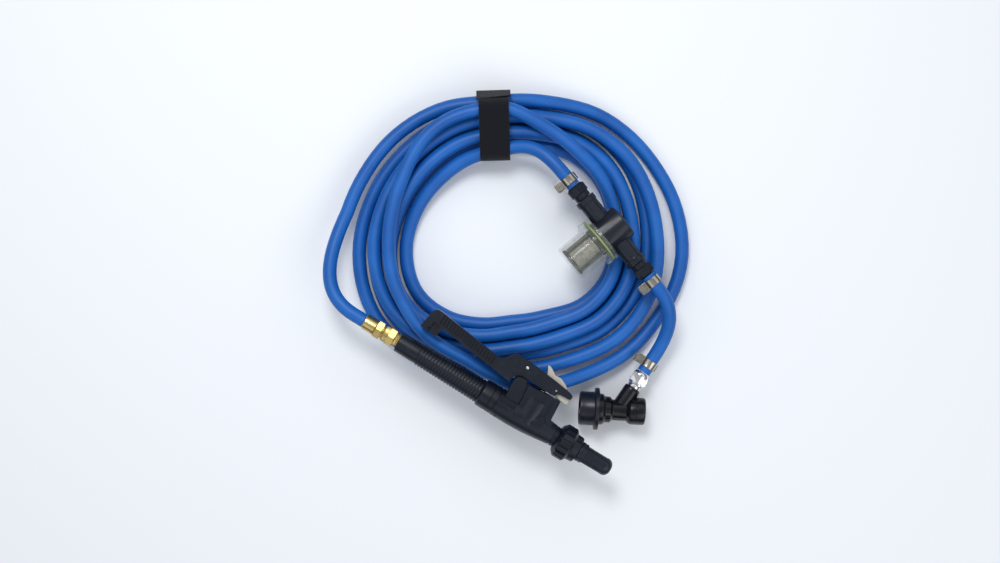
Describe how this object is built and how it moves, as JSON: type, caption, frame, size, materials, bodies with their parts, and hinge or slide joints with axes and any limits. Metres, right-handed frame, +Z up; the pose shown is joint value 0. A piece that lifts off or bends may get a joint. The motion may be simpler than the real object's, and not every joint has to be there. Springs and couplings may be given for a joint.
{
  "type": "coiled hose with spray gun",
  "caption": "Hand spray gun with a squeeze lever on a coiled, strapped hose, with an inline strainer in a clear bowl and a short hose to a side-outlet quick disconnect.",
  "frame": {"origin": "on the surface the part lies on, under the middle of the box round the gun, strainer and disconnect", "axes": "+Z up; the gun's axis runs along +X towards its nozzle and the lever lies towards +Y"},
  "size_m": [0.3462, 0.2973, 0.0659],
  "materials": {
    "black_plastic": "moulded, soft sheen",
    "blue_hose": "smooth, soft sheen",
    "brass": "turned and polished",
    "steel": "polished stainless",
    "chrome": "plated",
    "clear_plastic": "clear moulded plastic",
    "green_rubber": "matt",
    "grey_plastic": "moulded",
    "black_rubber": "matt",
    "strap_fabric": "woven hook and loop",
    "mesh_steel": "woven wire"
  },
  "bodies": {
    "bench_body": {"brass_sleeve": "brass", "brass_adapter": "brass", "valve_body": "black_plastic", "valve_plug": "black_plastic", "stem_seal": "black_rubber", "valve_spring": "steel", "pivot_pin": "chrome", "cap_seal": "black_rubber", "nozzle_stem": "black_plastic", "strainer_body": "black_plastic", "inlet_adapter": "black_plastic", "outlet_adapter": "black_plastic", "bowl_ring": "clear_plastic", "bowl_gasket": "green_rubber", "mesh_screen": "mesh_steel", "screen_frame": "black_plastic", "inlet_clamp_band": "steel", "inlet_clamp_housing": "steel", "outlet_clamp_band": "steel", "outlet_clamp_housing": "steel", "tail_clamp_band": "steel", "tail_clamp_housing": "steel", "disconnect_body": "black_plastic", "collar_spring": "steel", "socket_seal": "green_rubber", "poppet_spring": "steel", "end_cap": "black_plastic", "barbed_tail": "chrome", "hose_coil": "blue_hose", "hose_tail": "blue_hose", "hose_lead": "blue_hose", "hose_short": "blue_hose", "strap": "strap_fabric"},
    "lever": {"squeeze_lever": "black_plastic", "clip_pin": "chrome"},
    "clip": {"lock_clip": "grey_plastic", "clip_wire": "chrome"},
    "stem": {"valve_stem": "steel"},
    "nut": {"cap_nut": "black_plastic"},
    "nozzle": {"nozzle_tip": "black_plastic", "swirl_insert": "brass"},
    "bowl": {"strainer_bowl": "clear_plastic"},
    "collar": {"lock_collar": "black_plastic"},
    "plunger": {"poppet": "steel"},
    "swivel": {"swivel_nut": "chrome"},
    "inlet_screw": {"inlet_clamp_screw": "steel"},
    "outlet_screw": {"outlet_clamp_screw": "steel"},
    "tail_screw": {"tail_clamp_screw": "steel"}
  },
  "joints": [
    {"name": "lever_squeeze", "type": "hinge", "parent": "bench_body", "child": "lever", "pos_m": [0.0144, -0.0583, 0.0467], "axis": [0, 0, 1], "range_deg": [0, 6.5], "stiffness_Nm_per_rad": 3},
    {"name": "stem_lift", "type": "slide", "parent": "bench_body", "child": "stem", "axis": [0, 1, 0], "range_m": [0, 0.0027], "deforming": ["valve_spring"]},
    {"name": "clip_lock", "type": "hinge", "parent": "lever", "child": "clip", "pos_m": [0.0473, -0.0627, 0.0467], "axis": [0, 0, 1], "range_deg": [0, 7], "stiffness_Nm_per_rad": 0.1},
    {"name": "cap_nut_turn", "type": "hinge", "parent": "bench_body", "child": "nut", "pos_m": [0.0807, -0.0989, 0.0467], "axis": [1, 0, 0], "continuous": true},
    {"name": "nozzle_turn", "type": "hinge", "parent": "bench_body", "child": "nozzle", "pos_m": [0.1097, -0.0989, 0.0467], "axis": [1, 0, 0], "continuous": true},
    {"name": "bowl_unscrew", "type": "hinge", "parent": "bench_body", "child": "bowl", "pos_m": [0.0149, 0.0871, 0.0436], "axis": [-0.3305, -0.9438, 0], "range_deg": [0, 30]},
    {"name": "collar_pull", "type": "slide", "parent": "bench_body", "child": "collar", "axis": [0.8854, 0.4648, 0], "range_m": [0, 0.003], "stiffness_N_per_m": 800, "deforming": ["collar_spring"]},
    {"name": "poppet_push", "type": "slide", "parent": "bench_body", "child": "plunger", "axis": [0.8854, 0.4648, 0], "range_m": [0, 0.003], "stiffness_N_per_m": 800, "deforming": ["poppet_spring"]},
    {"name": "swivel_turn", "type": "hinge", "parent": "bench_body", "child": "swivel", "pos_m": [0.10799, -0.04981, 0.0195], "axis": [0.0488, 0.9988, 0], "continuous": true},
    {"name": "inlet_screw_turn", "type": "hinge", "parent": "bench_body", "child": "inlet_screw", "pos_m": [-0.04523, 0.09634, 0.0436], "axis": [0, 0, 1], "continuous": true},
    {"name": "outlet_screw_turn", "type": "hinge", "parent": "bench_body", "child": "outlet_screw", "pos_m": [0.06765, 0.05682, 0.0436], "axis": [0, 0, 1], "continuous": true},
    {"name": "tail_screw_turn", "type": "hinge", "parent": "bench_body", "child": "tail_screw", "pos_m": [0.09935, 0.00187, 0.0195], "axis": [0, 0, 1], "continuous": true}
  ],
  "couplings": [
    {"joint": "stem_lift", "follows": "lever_squeeze", "m_per_rad": 0.0226}
  ]
}
